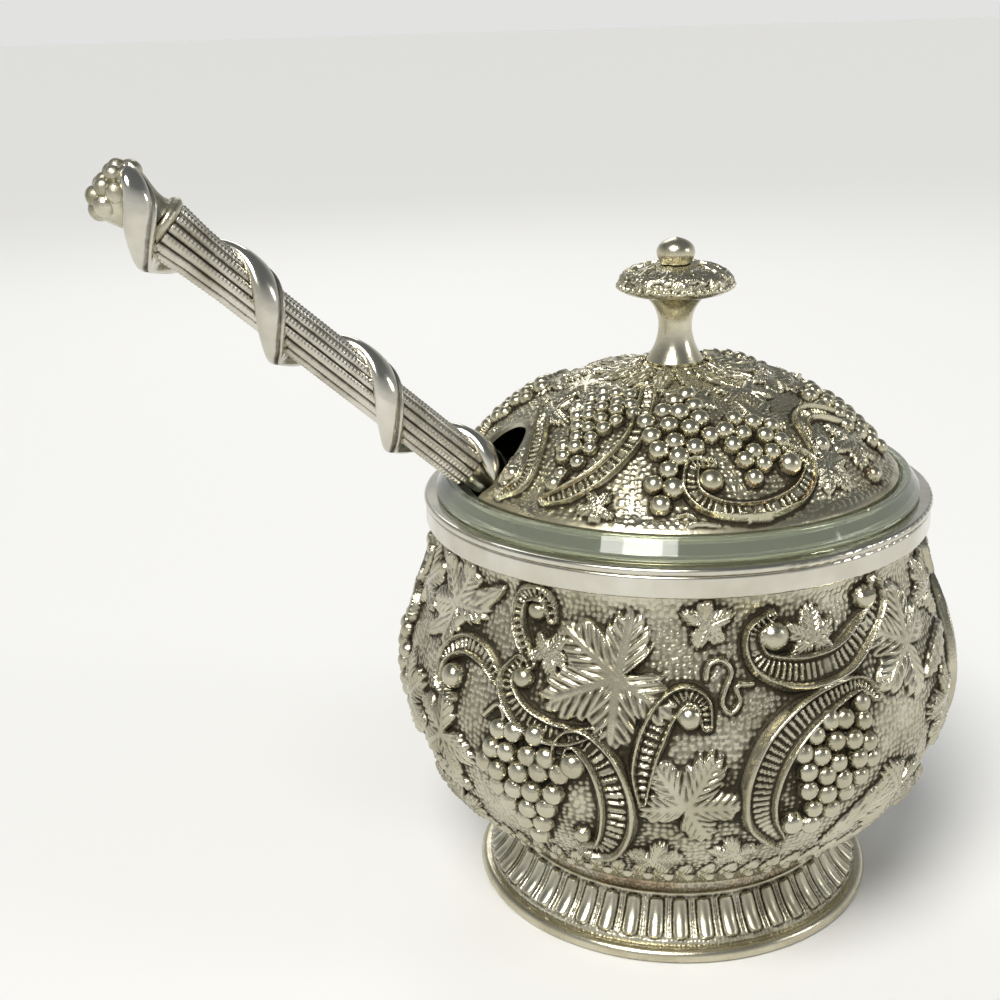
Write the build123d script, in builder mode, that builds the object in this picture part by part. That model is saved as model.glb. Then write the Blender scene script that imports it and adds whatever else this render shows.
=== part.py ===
from build123d import *
import os
from math import cos, hypot, radians, sin, sqrt

# Embossed silver-plated mustard pot with a clear glass liner, a lift-off lid and a ladle.
# The pot stands on Z = 0 with its axis on Z, and the ladle leaves the lid's notch towards -X.
# Every size is in millimetres.

# Foot: a pressed ring of wide flutes, standing on a soldered half-round wire
foot_r = 29.7
foot_wire_w = 2.2
foot_wire_h = 2.0
foot_skin = 1.1
foot_low_r = 27.9
foot_step_h = 0.6
foot_waist_r = 24.2
foot_waist_z = 7.3
foot_top_r = 23.4
foot_h = 10.5
flute_count = 48
flute_relief = 0.55
flute_share = 0.76
flute_root = 0.35

# Bowl: raised sheet, narrow at the foot, widest below half height, drawn in to a plain neck
bowl_skin = 1.2
bowl_floor_r = 25.0
belly_r = 40.4
belly_z = 33.5
shoulder_r = 38.3
shoulder_z = 44.2
neck_r = 34.6
neck_z = 57.0

# Collar: a polished band outside the neck, with a wire lip that covers both top edges
collar_r = 36.0
collar_h = 3.1
collar_round = 0.5
lip_r = 36.2
lip_w = 3.2
lip_h = 1.0
lip_round = 0.45

# Glass liner: pressed tumbler that hangs by its flange on the collar's lip
seat_gap = 0.05
liner_r = 32.0
liner_wall = 2.0
liner_floor_z = 13.0
liner_corner = 14.0
flange_r = 34.4
flange_edge_h = 0.9
flange_h = 2.85
flange_crest_w = 1.1
ledge_h = 1.55
flange_round = 0.35

# Lid: raised dome that nests inside the liner's flange, with a notch for the ladle
lid_skin = 1.2
lid_gap = 0.4
lid_edge_h = 1.3
lid_edge_w = 3.4
dome_top_z = 78.6
dome_flat_r = 4.5
bezel_gap = 0.4
bezel_wall = 1.0
bezel_h = 4.0
notch_w = 10.4
notch_reach = 22.6

# Finial: stem, mushroom cap and bud, held by a stud, a washer and a nut under the dome
stem_base_r = 4.0
stem_base_h = 1.4
stem_neck_r = 2.4
stem_neck_h = 3.2
stem_top_r = 4.7
stem_h = 9.9
cap_r = 8.4
cap_rim_h = 1.1
cap_h = 4.3
cap_top_r = 2.7
bud_r = 2.6
bud_h = 3.6
stud_r = 1.5
stud_into_stem = 5.5
stud_below = 5.0
bore_gap = 0.05
washer_r = 4.0
washer_h = 0.8
nut_width = 5.6
nut_h = 2.4

# Ladle: cast fluted handle wound with a ribbon, ferrule, bent shank and round bowl
handle_tilt = 42.7
handle_x = -28.6
handle_z = 65.0
ferrule_r = 2.2
ferrule_bead = 0.25
ferrule_half = 3.0
column_r = 3.1
column_low = 3.0
column_high = 48.0
column_end = 54.5
column_flare = 1.22
column_flutes = 14
column_flute_r = 0.42
ribbon_pitch = 20.0
ribbon_low = -1.3
ribbon_turns = 2.36
ribbon_w = 3.8
ribbon_h = 1.4
ribbon_gap = 0.1
capital_r = 4.1
capital_h = 1.6
crown_neck_r = 3.0
crown_r = 4.4
crown_end = 64.6
berry_r = 1.35
berry_ring_r = 2.6
berry_count = 7
petal_r = 1.5
petal_count = 8
shank_r = 1.5
shank_bend_x = -2.3
shank_bend_r = 14.0
ladle_r = 9.0
ladle_wall = 0.9
ladle_z = 26.0
ladle_set_out = 0.6
ladle_rim_r = 0.6

# Heights and radii that follow from the sizes above
lip_z = neck_z + collar_h
liner_seat_z = lip_z + lip_h + seat_gap
ledge_z = liner_seat_z + ledge_h
liner_bore_r = liner_r - liner_wall
crest_z = liner_seat_z + flange_h
lid_seat_z = ledge_z + seat_gap
lid_edge_z = lid_seat_z + lid_edge_h
crest_in_r = flange_r - flange_edge_h - flange_crest_w - 0.5
lid_edge_r = crest_in_r - lid_gap
bezel_r = liner_bore_r - bezel_gap
dome_run = lid_edge_r - dome_flat_r
dome_rise = dome_top_z - lid_edge_z
dome_inside_z = dome_top_z - lid_skin
cap_z = dome_top_z + stem_h
bud_z = cap_z + cap_h

# Directions of the ladle's handle, which leans out over the rim
tilt = radians(handle_tilt)
handle_foot = Vector(handle_x, 0, handle_z)
handle_dir = Vector(-cos(tilt), 0, sin(tilt))
handle_up = Vector(sin(tilt), 0, cos(tilt))
handle_line = Axis(handle_foot, handle_dir)
handle_cut = Plane(origin=handle_foot, x_dir=handle_up, z_dir=(0, -1, 0))
handle_end = Plane(origin=handle_foot, x_dir=handle_up, z_dir=handle_dir)

os.makedirs("parts", exist_ok=True)


def polar(radius, turn):
    """Point at a radius and an angle in degrees round the axis"""
    return (radius * cos(radians(turn)), radius * sin(radians(turn)))


def fluted_face(plane, crest, relief, count, share):
    """Face bounded by wide convex flutes, each followed by one narrow rib"""
    pitch = 360 / count
    root = crest - relief
    with BuildSketch(plane) as face:
        with BuildLine():
            for k in range(count):
                start = k * pitch
                middle = start + share * pitch
                end = start + pitch
                ThreePointArc(polar(root, start), polar(crest, (start + middle) / 2), polar(root, middle))
                ThreePointArc(polar(root, middle), polar(crest - relief / 2, (middle + end) / 2), polar(root, end))
        make_face()
    return face.sketch


def reeded_face(plane, radius):
    """Round face of the handle's column with its flutes cut in"""
    with BuildSketch(plane) as face:
        Circle(radius)
        with PolarLocations(radius + column_flute_r * 0.35, column_flutes):
            Circle(column_flute_r * radius / column_r, mode=Mode.SUBTRACT)
    return face.sketch


def finish(builder, name):
    """Name the piece and write its file"""
    builder.part.label = name
    export_step(builder.part, f"parts/{name}.step")


# Foot wire: half-round ring with a flat underside that the pot stands on
with BuildPart() as foot_rim_wire:
    with BuildSketch(Plane.XZ):
        with BuildLine():
            wire_in = foot_r - foot_wire_w
            wire_out = foot_r - foot_wire_h / 2
            Line((wire_in, 0), (wire_out, 0))
            ThreePointArc((wire_out, 0), (foot_r, foot_wire_h / 2), (wire_out, foot_wire_h))
            Line((wire_out, foot_wire_h), (wire_in, foot_wire_h))
            Line((wire_in, foot_wire_h), (wire_in, 0))
        make_face()
    revolve(axis=Axis.Z)

# Foot: hollow pressed skin, flared at the bottom, with the ring of flutes standing out of it
flute_low_z = foot_wire_h + foot_step_h
with BuildPart() as foot:
    low_face = fluted_face(
        Plane.XY.offset(flute_low_z), foot_low_r + flute_relief, flute_relief, flute_count, flute_share
    )
    top_face = fluted_face(
        Plane.XY.offset(foot_waist_z), foot_waist_r + flute_relief, flute_relief, flute_count, flute_share
    )
    loft([low_face, top_face], ruled=True)
    with BuildSketch(Plane.XZ):
        with BuildLine():
            Polyline(
                (0, flute_low_z),
                (foot_low_r - flute_root, flute_low_z),
                (foot_waist_r - flute_root, foot_waist_z),
                (0, foot_waist_z),
                close=True,
            )
        make_face()
    revolve(axis=Axis.Z, mode=Mode.SUBTRACT)
    with BuildSketch(Plane.XZ):
        with BuildLine():
            Polyline(
                (foot_low_r, foot_wire_h),
                (foot_low_r, flute_low_z),
                (foot_waist_r, foot_waist_z),
                (foot_top_r, foot_h),
                (foot_top_r - foot_skin, foot_h),
                (foot_waist_r - foot_skin, foot_waist_z - foot_skin / 2),
                (foot_low_r - foot_skin, flute_low_z - foot_skin / 2),
                (foot_low_r - foot_skin, foot_wire_h),
                close=True,
            )
        make_face()
    revolve(axis=Axis.Z)

# Bowl: one raised sheet, from its flat floor through the belly to the plain neck
with BuildPart() as bowl_shell:
    with BuildSketch(Plane.XZ):
        with BuildLine():
            floor = Line((0, foot_h), (bowl_floor_r, foot_h))
            low = TangentArc((belly_r, belly_z), (bowl_floor_r, foot_h), tangent=(0, -1))
            high = TangentArc((belly_r, belly_z), (shoulder_r, shoulder_z), tangent=(0, 1))
            draw_in = TangentArc(high @ 1, (neck_r, neck_z), tangent=high % 1)
            Line((neck_r, neck_z), (neck_r, lip_z))
            offset(amount=bowl_skin, side=Side.LEFT)
        make_face()
    revolve(axis=Axis.Z)

# Collar band: plain polished ring soldered round the neck
with BuildPart() as collar_band:
    with BuildSketch(Plane.XZ) as band:
        with BuildLine():
            Polyline(
                (neck_r, neck_z),
                (collar_r, neck_z),
                (collar_r, lip_z),
                (neck_r, lip_z),
                close=True,
            )
        make_face()
        fillet(band.vertices().group_by(Axis.X)[-1], radius=collar_round)
    revolve(axis=Axis.Z)

# Collar lip: rounded wire over the top edges of the neck and the band
with BuildPart() as collar_lip:
    with BuildSketch(Plane.XZ) as lip:
        with BuildLine():
            Polyline(
                (lip_r - lip_w, lip_z),
                (lip_r, lip_z),
                (lip_r, lip_z + lip_h),
                (lip_r - lip_w, lip_z + lip_h),
                close=True,
            )
        make_face()
        fillet(lip.vertices(), radius=lip_round)
    revolve(axis=Axis.Z)

# Glass liner: thick pressed glass with a rounded floor, a stepped flange and a ledge for the lid
with BuildPart() as glass_liner:
    with BuildSketch(Plane.XZ) as glass:
        with BuildLine():
            turn_r = liner_r - liner_corner
            turn_z = liner_floor_z + liner_corner
            inner_floor_z = liner_floor_z + liner_wall
            Line((0, liner_floor_z), (turn_r, liner_floor_z))
            TangentArc((turn_r, liner_floor_z), (liner_r, turn_z), tangent=(1, 0))
            Line((liner_r, turn_z), (liner_r, liner_seat_z))
            Polyline(
                (liner_r, liner_seat_z),
                (flange_r, liner_seat_z),
                (flange_r, liner_seat_z + flange_edge_h),
                (crest_in_r + flange_crest_w, crest_z),
                (crest_in_r, crest_z),
                (crest_in_r, ledge_z),
                (liner_bore_r, ledge_z),
                (liner_bore_r, turn_z),
            )
            TangentArc((liner_bore_r, turn_z), (turn_r, inner_floor_z), tangent=(0, -1))
            Line((turn_r, inner_floor_z), (0, inner_floor_z))
            Line((0, inner_floor_z), (0, liner_floor_z))
        make_face()
        fillet(glass.vertices().group_by(Axis.Y)[-1], radius=flange_round)
        fillet(glass.vertices().group_by(Axis.X)[-1], radius=flange_round)
    revolve(axis=Axis.Z)

# Lid dome: raised sheet with a flat seat for the finial, a turned edge and the ladle's notch
with BuildPart() as lid_dome:
    with BuildSketch(Plane.XZ):
        with BuildLine():
            dome_arc = (hypot(dome_run, dome_rise)) ** 2 / (2 * dome_rise)
            turn_in_r = lid_edge_r - lid_edge_w
            turn_in_z = dome_top_z - dome_arc + sqrt((dome_arc - lid_skin) ** 2 - (turn_in_r - dome_flat_r) ** 2)
            Line((0, dome_top_z), (dome_flat_r, dome_top_z))
            TangentArc((dome_flat_r, dome_top_z), (lid_edge_r, lid_edge_z), tangent=(1, 0))
            Polyline(
                (lid_edge_r, lid_edge_z),
                (lid_edge_r, lid_seat_z),
                (turn_in_r, lid_seat_z),
                (turn_in_r, turn_in_z),
            )
            TangentArc((dome_flat_r, dome_inside_z), (turn_in_r, turn_in_z), tangent=(1, 0))
            Line((dome_flat_r, dome_inside_z), (0, dome_inside_z))
            Line((0, dome_inside_z), (0, dome_top_z))
        make_face()
    revolve(axis=Axis.Z)
    with BuildSketch(Plane.XY.offset(lid_seat_z)):
        Circle(stud_r + bore_gap)
        with Locations((-notch_reach - lid_edge_r, 0)):
            SlotOverall(2 * lid_edge_r, notch_w)
    extrude(amount=dome_top_z, mode=Mode.SUBTRACT)

# Lid bezel: ring under the edge that keeps the lid central in the liner, open at the notch
with BuildPart() as lid_bezel:
    with BuildSketch(Plane.XY.offset(lid_seat_z - bezel_h)):
        Circle(bezel_r)
        Circle(bezel_r - bezel_wall, mode=Mode.SUBTRACT)
        with Locations((-bezel_r, 0)):
            Rectangle(bezel_r, notch_w, mode=Mode.SUBTRACT)
    extrude(amount=bezel_h)

# Finial stem: turned base, waisted neck and a trumpet that carries the cap
with BuildPart() as finial_stem:
    with BuildSketch(Plane.XZ):
        with BuildLine():
            Line((0, dome_top_z), (stem_base_r, dome_top_z))
            Line((stem_base_r, dome_top_z), (stem_base_r, dome_top_z + stem_base_h / 2))
            Spline(
                (stem_base_r, dome_top_z + stem_base_h / 2),
                (stem_neck_r, dome_top_z + stem_base_h + stem_neck_h),
                (stem_top_r, cap_z),
                tangents=((-0.6, 1), (1, 0.6)),
            )
            Line((stem_top_r, cap_z), (0, cap_z))
            Line((0, cap_z), (0, dome_top_z))
        make_face()
    revolve(axis=Axis.Z)
    with BuildSketch(Plane.XY.offset(dome_top_z)):
        Circle(stud_r + bore_gap)
    extrude(amount=stud_into_stem + bore_gap, mode=Mode.SUBTRACT)

# Finial cap: mushroom with a round rim, hollowed below and rising to the bud's seat
with BuildPart() as finial_cap:
    with BuildSketch(Plane.XZ):
        with BuildLine():
            Line((0, cap_z), (stem_top_r, cap_z))
            Line((stem_top_r, cap_z), (cap_r - cap_rim_h / 2, cap_z + cap_rim_h / 2))
            ThreePointArc(
                (cap_r - cap_rim_h / 2, cap_z + cap_rim_h / 2),
                (cap_r, cap_z + cap_rim_h),
                (cap_r - cap_rim_h / 2, cap_z + 1.5 * cap_rim_h),
            )
            Spline(
                (cap_r - cap_rim_h / 2, cap_z + 1.5 * cap_rim_h),
                (cap_top_r, cap_z + cap_h),
                tangents=((-1, 0.9), (-1, 0.1)),
            )
            Line((cap_top_r, cap_z + cap_h), (0, cap_z + cap_h))
            Line((0, cap_z + cap_h), (0, cap_z))
        make_face()
    revolve(axis=Axis.Z)

# Finial bud: small pointed knob on top of the cap
with BuildPart() as finial_bud:
    with BuildSketch(Plane.XZ):
        with BuildLine():
            Line((0, bud_z), (bud_r * 0.8, bud_z))
            Spline(
                (bud_r * 0.8, bud_z),
                (bud_r, bud_z + bud_h * 0.3),
                (0, bud_z + bud_h),
                tangents=((0.5, 1), (-1, 0.15)),
            )
            Line((0, bud_z + bud_h), (0, bud_z))
        make_face()
    revolve(axis=Axis.Z)

# Finial stud: plain rod from inside the stem down through the dome
with BuildPart() as finial_stud:
    with BuildSketch(Plane.XY.offset(dome_inside_z - stud_below)):
        Circle(stud_r)
    extrude(amount=stud_below + lid_skin + stud_into_stem)

# Finial washer: flat ring under the dome's seat
with BuildPart() as finial_washer:
    with BuildSketch(Plane.XY.offset(dome_inside_z - washer_h)):
        Circle(washer_r)
        Circle(stud_r + bore_gap, mode=Mode.SUBTRACT)
    extrude(amount=washer_h)

# Finial nut: six-sided nut that pulls the finial down
with BuildPart() as finial_nut:
    with BuildSketch(Plane.XY.offset(dome_inside_z - washer_h - nut_h)):
        RegularPolygon(nut_width / 2, 6, major_radius=False)
        Circle(stud_r + bore_gap, mode=Mode.SUBTRACT)
    extrude(amount=nut_h)

# Ladle ferrule: beaded sleeve that joins the cast handle to the shank
with BuildPart() as spoon_ferrule:
    with BuildSketch(handle_cut):
        with BuildLine():
            bead_out = ferrule_r + ferrule_bead
            Line((0, -ferrule_half), (ferrule_r, -ferrule_half))
            ThreePointArc(
                (ferrule_r, -ferrule_half), (bead_out, -ferrule_half * 0.75), (ferrule_r, -ferrule_half / 2)
            )
            Line((ferrule_r, -ferrule_half / 2), (ferrule_r, ferrule_half))
            Line((ferrule_r, ferrule_half), (0, ferrule_half))
            Line((0, ferrule_half), (0, -ferrule_half))
        make_face()
    revolve(axis=handle_line)

# Handle column: fluted shaft, straight for most of its length and flared under the capital
with BuildPart() as handle_column:
    column_foot = reeded_face(handle_end.offset(column_low), column_r)
    column_shoulder = reeded_face(handle_end.offset(column_high), column_r)
    column_head = reeded_face(handle_end.offset(column_end), column_r * column_flare)
    loft([column_foot, column_shoulder, column_head], ruled=True)

# Handle ribbon: half-round strap wound round the column as a right-handed helix
with BuildPart() as handle_ribbon:
    winding_plane = Plane(origin=handle_foot + handle_dir * ribbon_low, x_dir=(0, -1, 0), z_dir=handle_dir)
    winding = Helix(ribbon_pitch, ribbon_pitch * ribbon_turns, column_r + ribbon_gap, mode=Mode.PRIVATE)
    winding = winding_plane.location * winding
    with BuildSketch(Plane(origin=winding @ 0, x_dir=(0, -1, 0), z_dir=winding % 0)):
        with BuildLine():
            Line((0, -ribbon_w / 2), (0, ribbon_w / 2))
            ThreePointArc((0, ribbon_w / 2), (ribbon_h, 0), (0, -ribbon_w / 2))
        make_face()
    sweep(path=winding, is_frenet=True)

# Handle crown: capital, drawn-in neck, ring of petals and a cluster of berries at the tip
with BuildPart() as handle_crown:
    with BuildSketch(handle_cut):
        with BuildLine():
            capital_top = column_end + capital_h
            head_low = (capital_top + crown_end) / 2
            Line((0, column_end), (capital_r - capital_h / 2, column_end))
            ThreePointArc(
                (capital_r - capital_h / 2, column_end),
                (capital_r, column_end + capital_h / 2),
                (capital_r - capital_h / 2, capital_top),
            )
            Spline(
                (capital_r - capital_h / 2, capital_top),
                (crown_neck_r, capital_top + 1.2),
                (crown_r - petal_r / 2, head_low + petal_r),
                (crown_neck_r, crown_end - berry_r * 1.4),
            )
            Line((crown_neck_r, crown_end - berry_r * 1.4), (0, crown_end - berry_r * 1.4))
            Line((0, crown_end - berry_r * 1.4), (0, column_end))
        make_face()
    revolve(axis=handle_line)
    with Locations(handle_end.offset(head_low + petal_r)):
        with PolarLocations(crown_r - petal_r, petal_count):
            Sphere(petal_r)
    with Locations(handle_end.offset(crown_end - berry_r)):
        Sphere(berry_r)
        with PolarLocations(berry_ring_r - berry_r / 4, berry_count):
            Sphere(berry_r * 0.9)

# Ladle bowl: round cup with a bead along its mouth
ladle_x = shank_bend_x + shank_bend_r * (1 - sin(tilt)) + ladle_r + ladle_set_out
ladle_axis = Axis((ladle_x, 0, 0), (0, 0, 1))
ladle_cut = Plane(origin=(ladle_x, 0, ladle_z), x_dir=(1, 0, 0), z_dir=(0, -1, 0))
with BuildPart() as spoon_bowl:
    with BuildSketch(ladle_cut):
        with BuildLine():
            inside_r = ladle_r - ladle_wall
            Line((0, -ladle_r), (0, -inside_r))
            TangentArc((0, -inside_r), (inside_r, 0), tangent=(1, 0))
            ThreePointArc((inside_r, 0), (ladle_r - ladle_wall / 2, ladle_rim_r), (ladle_r, 0))
            TangentArc((ladle_r, 0), (0, -ladle_r), tangent=(0, -1))
        make_face()
    revolve(axis=ladle_axis)

# Ladle shank: round rod that carries on from the handle, bends down and meets the bowl's side
with BuildPart() as spoon_shank:
    with BuildLine() as shank_path:
        shank_top = handle_foot - handle_dir * ferrule_half
        drop = (handle_x - shank_bend_x) / cos(tilt)
        bend_start = handle_foot + handle_dir * drop
        bend_end = bend_start + Vector(shank_bend_r * (1 - sin(tilt)), 0, -shank_bend_r * cos(tilt))
        Line(shank_top, bend_start)
        TangentArc(bend_start, bend_end, tangent=-handle_dir)
        Line(bend_end, (bend_end.X, 0, ladle_z - ladle_r / 4))
    with BuildSketch(Plane(origin=shank_top, x_dir=(0, 1, 0), z_dir=-handle_dir)):
        Circle(shank_r)
    sweep(path=shank_path.line)
    with BuildSketch(ladle_cut):
        with BuildLine():
            Line((0, -ladle_r), (0, 0))
            Line((0, 0), (inside_r, 0))
            ThreePointArc((inside_r, 0), (ladle_r - ladle_wall / 2, ladle_rim_r), (ladle_r, 0))
            TangentArc((ladle_r, 0), (0, -ladle_r), tangent=(0, -1))
        make_face()
    revolve(axis=ladle_axis, mode=Mode.SUBTRACT)

finish(foot_rim_wire, "foot_rim_wire")
finish(foot, "foot")
finish(bowl_shell, "bowl_shell")
finish(collar_band, "collar_band")
finish(collar_lip, "collar_lip")
finish(glass_liner, "glass_liner")
finish(lid_dome, "lid_dome")
finish(lid_bezel, "lid_bezel")
finish(finial_stem, "finial_stem")
finish(finial_cap, "finial_cap")
finish(finial_bud, "finial_bud")
finish(finial_stud, "finial_stud")
finish(finial_washer, "finial_washer")
finish(finial_nut, "finial_nut")
finish(spoon_ferrule, "spoon_ferrule")
finish(handle_column, "handle_column")
finish(handle_ribbon, "handle_ribbon")
finish(handle_crown, "handle_crown")
finish(spoon_shank, "spoon_shank")
finish(spoon_bowl, "spoon_bowl")
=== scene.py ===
import bpy
import numpy as np
from math import cos, hypot, pi, radians, sin
from mathutils import Matrix, Vector


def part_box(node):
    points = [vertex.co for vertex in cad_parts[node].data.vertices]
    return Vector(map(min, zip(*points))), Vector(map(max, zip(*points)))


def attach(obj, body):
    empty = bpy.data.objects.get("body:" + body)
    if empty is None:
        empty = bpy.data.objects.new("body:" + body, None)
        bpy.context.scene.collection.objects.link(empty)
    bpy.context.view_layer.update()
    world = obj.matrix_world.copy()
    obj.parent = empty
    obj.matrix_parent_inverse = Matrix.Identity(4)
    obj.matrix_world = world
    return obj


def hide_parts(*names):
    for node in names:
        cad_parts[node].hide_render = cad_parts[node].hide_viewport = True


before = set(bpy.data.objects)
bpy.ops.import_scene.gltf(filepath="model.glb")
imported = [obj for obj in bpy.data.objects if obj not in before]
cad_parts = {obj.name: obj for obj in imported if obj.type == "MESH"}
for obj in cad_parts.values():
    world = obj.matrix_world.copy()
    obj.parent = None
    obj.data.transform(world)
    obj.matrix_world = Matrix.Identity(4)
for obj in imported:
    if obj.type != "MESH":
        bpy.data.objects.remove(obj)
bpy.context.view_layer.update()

# Camera: the photograph's viewpoint, above the rim and a little to the handle's side.
# The pot's front is the direction that faces this camera, and ornament is placed round the
# pot by its angle from that front, in degrees, and by its height, in millimetres.
camera_data = bpy.data.cameras.new("camera")
camera = bpy.data.objects.new("camera", camera_data)
bpy.context.scene.collection.objects.link(camera)
bpy.context.scene.camera = camera
camera_data.sensor_width = 36
camera_data.lens = 52.4
camera_data.clip_start = 0.01
camera_yaw = radians(-17)
camera_pitch = radians(17.94)
camera_roll = radians(-1.65)
camera_place = (-0.0831, -0.1854, 0.1243)
camera.matrix_world = (
    Matrix.Translation(camera_place)
    @ Matrix.Rotation(camera_yaw, 4, "Z")
    @ Matrix.Rotation(pi / 2 - camera_pitch, 4, "X")
    @ Matrix.Rotation(camera_roll, 4, "Z")
)
front = -107.0

# Bowl: raised silver-plated sheet, embossed all round with vine leaves, grapes and C-scrolls
# on a stippled ground. The relief is chased in from both sides, so the skin keeps one
# thickness. It is made as four quarters of one sheet, with its plain inside as a fifth piece.
mm = 0.001
foot_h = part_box("bowl_shell")[0].z / mm
belly_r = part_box("bowl_shell")[1].y / mm
lip_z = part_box("bowl_shell")[1].z / mm
neck_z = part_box("collar_band")[0].z / mm
neck_r = 34.6
belly_z = 33.5
floor_r = 25.0
shoulder_r = belly_r - 2.1
shoulder_z = 44.2
bowl_skin = 1.2


def arc_from(start, heading, end, count):
    """Points on the circle that leaves start along heading and passes end, evenly spaced, and
    its heading there. The turn is twice the angle between the heading and the chord."""
    chord = np.subtract(end, start)
    turn = 2 * np.arctan2(heading[0] * chord[1] - heading[1] * chord[0], np.dot(heading, chord))
    along = np.linspace(0, 1, count)[:, None]
    reach = np.sin(along * turn / 2) / np.sin(turn / 2)
    swing = (along - 1) * turn / 2
    x = chord[0] * np.cos(swing) - chord[1] * np.sin(swing)
    y = chord[0] * np.sin(swing) + chord[1] * np.cos(swing)
    across = np.array([-heading[1], heading[0]])
    return np.array(start) + reach * np.hstack([x, y]), np.array(heading) * cos(turn) + across * sin(turn)


def even(points, count):
    """The same line with its points spaced evenly along it"""
    points = np.array(points, float)
    along = np.concatenate([[0], np.cumsum(np.hypot(*np.diff(points, axis=0).T))])
    at = np.linspace(0, along[-1], count)
    return np.stack([np.interp(at, along, points[:, k]) for k in (0, 1)], -1)


def smooth(x, low, high):
    """Rises from 0 at low to 1 at high with level ends"""
    t = np.clip((x - low) / (high - low), 0, 1)
    return t * t * (3 - 2 * t)


def inward(line, depth):
    """The line moved in along its normal, which is its direction of travel turned left"""
    travel = np.gradient(line, axis=0)
    travel /= np.linalg.norm(travel, axis=1, keepdims=True)
    return line + np.stack([-travel[:, 1], travel[:, 0]], -1) * np.reshape(depth, (-1, 1))


def turned_grid(line, turns):
    """Surface of revolution: the profile line carried round the axis to each angle"""
    theta = np.radians(turns)[:, None]
    height = np.repeat(np.array(line)[None, :, 1], len(turns), 0)
    return np.stack([line[None, :, 0] * np.cos(theta), line[None, :, 0] * np.sin(theta), height], -1)


def grid_normals(points):
    """Unit normals of a grid, from the cross product of its two directions of travel"""
    n = np.cross(np.gradient(points, axis=0), np.gradient(points, axis=1))
    return n / np.maximum(np.linalg.norm(n, axis=-1, keepdims=True), 1e-12)


def skin(name, grids, fields=None, normals=None, keep=None):
    """One mesh from grids of points in millimetres, where neighbours in a grid share a quad.
    fields are values at each point, kept as attributes, normals fix the shading, and keep
    says which quads stay. Points that no quad uses are left out."""
    points = np.concatenate([g.reshape(-1, 3) for g in grids])
    quads, base = [], 0
    for g in grids:
        rows, columns = g.shape[:2]
        i = np.arange(rows - 1)[:, None] * columns + np.arange(columns - 1)[None] + base
        quads.append(np.stack([i, i + columns, i + columns + 1, i + 1], -1).reshape(-1, 4))
        base += rows * columns
    quads = np.concatenate(quads)
    if keep is not None:
        quads = quads[keep.ravel()]
    used, quads = np.unique(quads, return_inverse=True)
    quads = quads.reshape(-1, 4)
    mesh = bpy.data.meshes.new(name)
    mesh.vertices.add(len(used))
    mesh.vertices.foreach_set("co", (points[used] * mm).astype(np.float32).ravel())
    mesh.loops.add(quads.size)
    mesh.loops.foreach_set("vertex_index", quads.astype(np.int32).ravel())
    mesh.polygons.add(len(quads))
    mesh.polygons.foreach_set("loop_start", np.arange(len(quads), dtype=np.int32) * 4)
    mesh.polygons.foreach_set("use_smooth", np.ones(len(quads), bool))
    for field, values in (fields or {}).items():
        layer = mesh.attributes.new(field, "FLOAT", "POINT")
        layer.data.foreach_set("value", values.ravel()[used].astype(np.float32))
    mesh.update(calc_edges=True)
    if normals is not None:
        mesh.normals_split_custom_set_from_vertices(normals.reshape(-1, 3)[used])
    piece = bpy.data.objects.new(name, mesh)
    bpy.context.scene.collection.objects.link(piece)
    return piece


def spline(points, count):
    """Catmull-Rom curve through the points, carried straight on past both ends"""
    p = np.vstack([2 * points[0] - points[1], points, 2 * points[-1] - points[-2]])
    at = np.linspace(0, len(points) - 1 - 1e-6, count)
    k = at.astype(int)
    t = (at - k)[:, None]
    a, b, c, d = p[k], p[k + 1], p[k + 2], p[k + 3]
    return 0.5 * (2 * b + (c - a) * t + (2 * a - 5 * b + 4 * c - d) * t**2 + (3 * b - a - 3 * c + d) * t**3)


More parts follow.
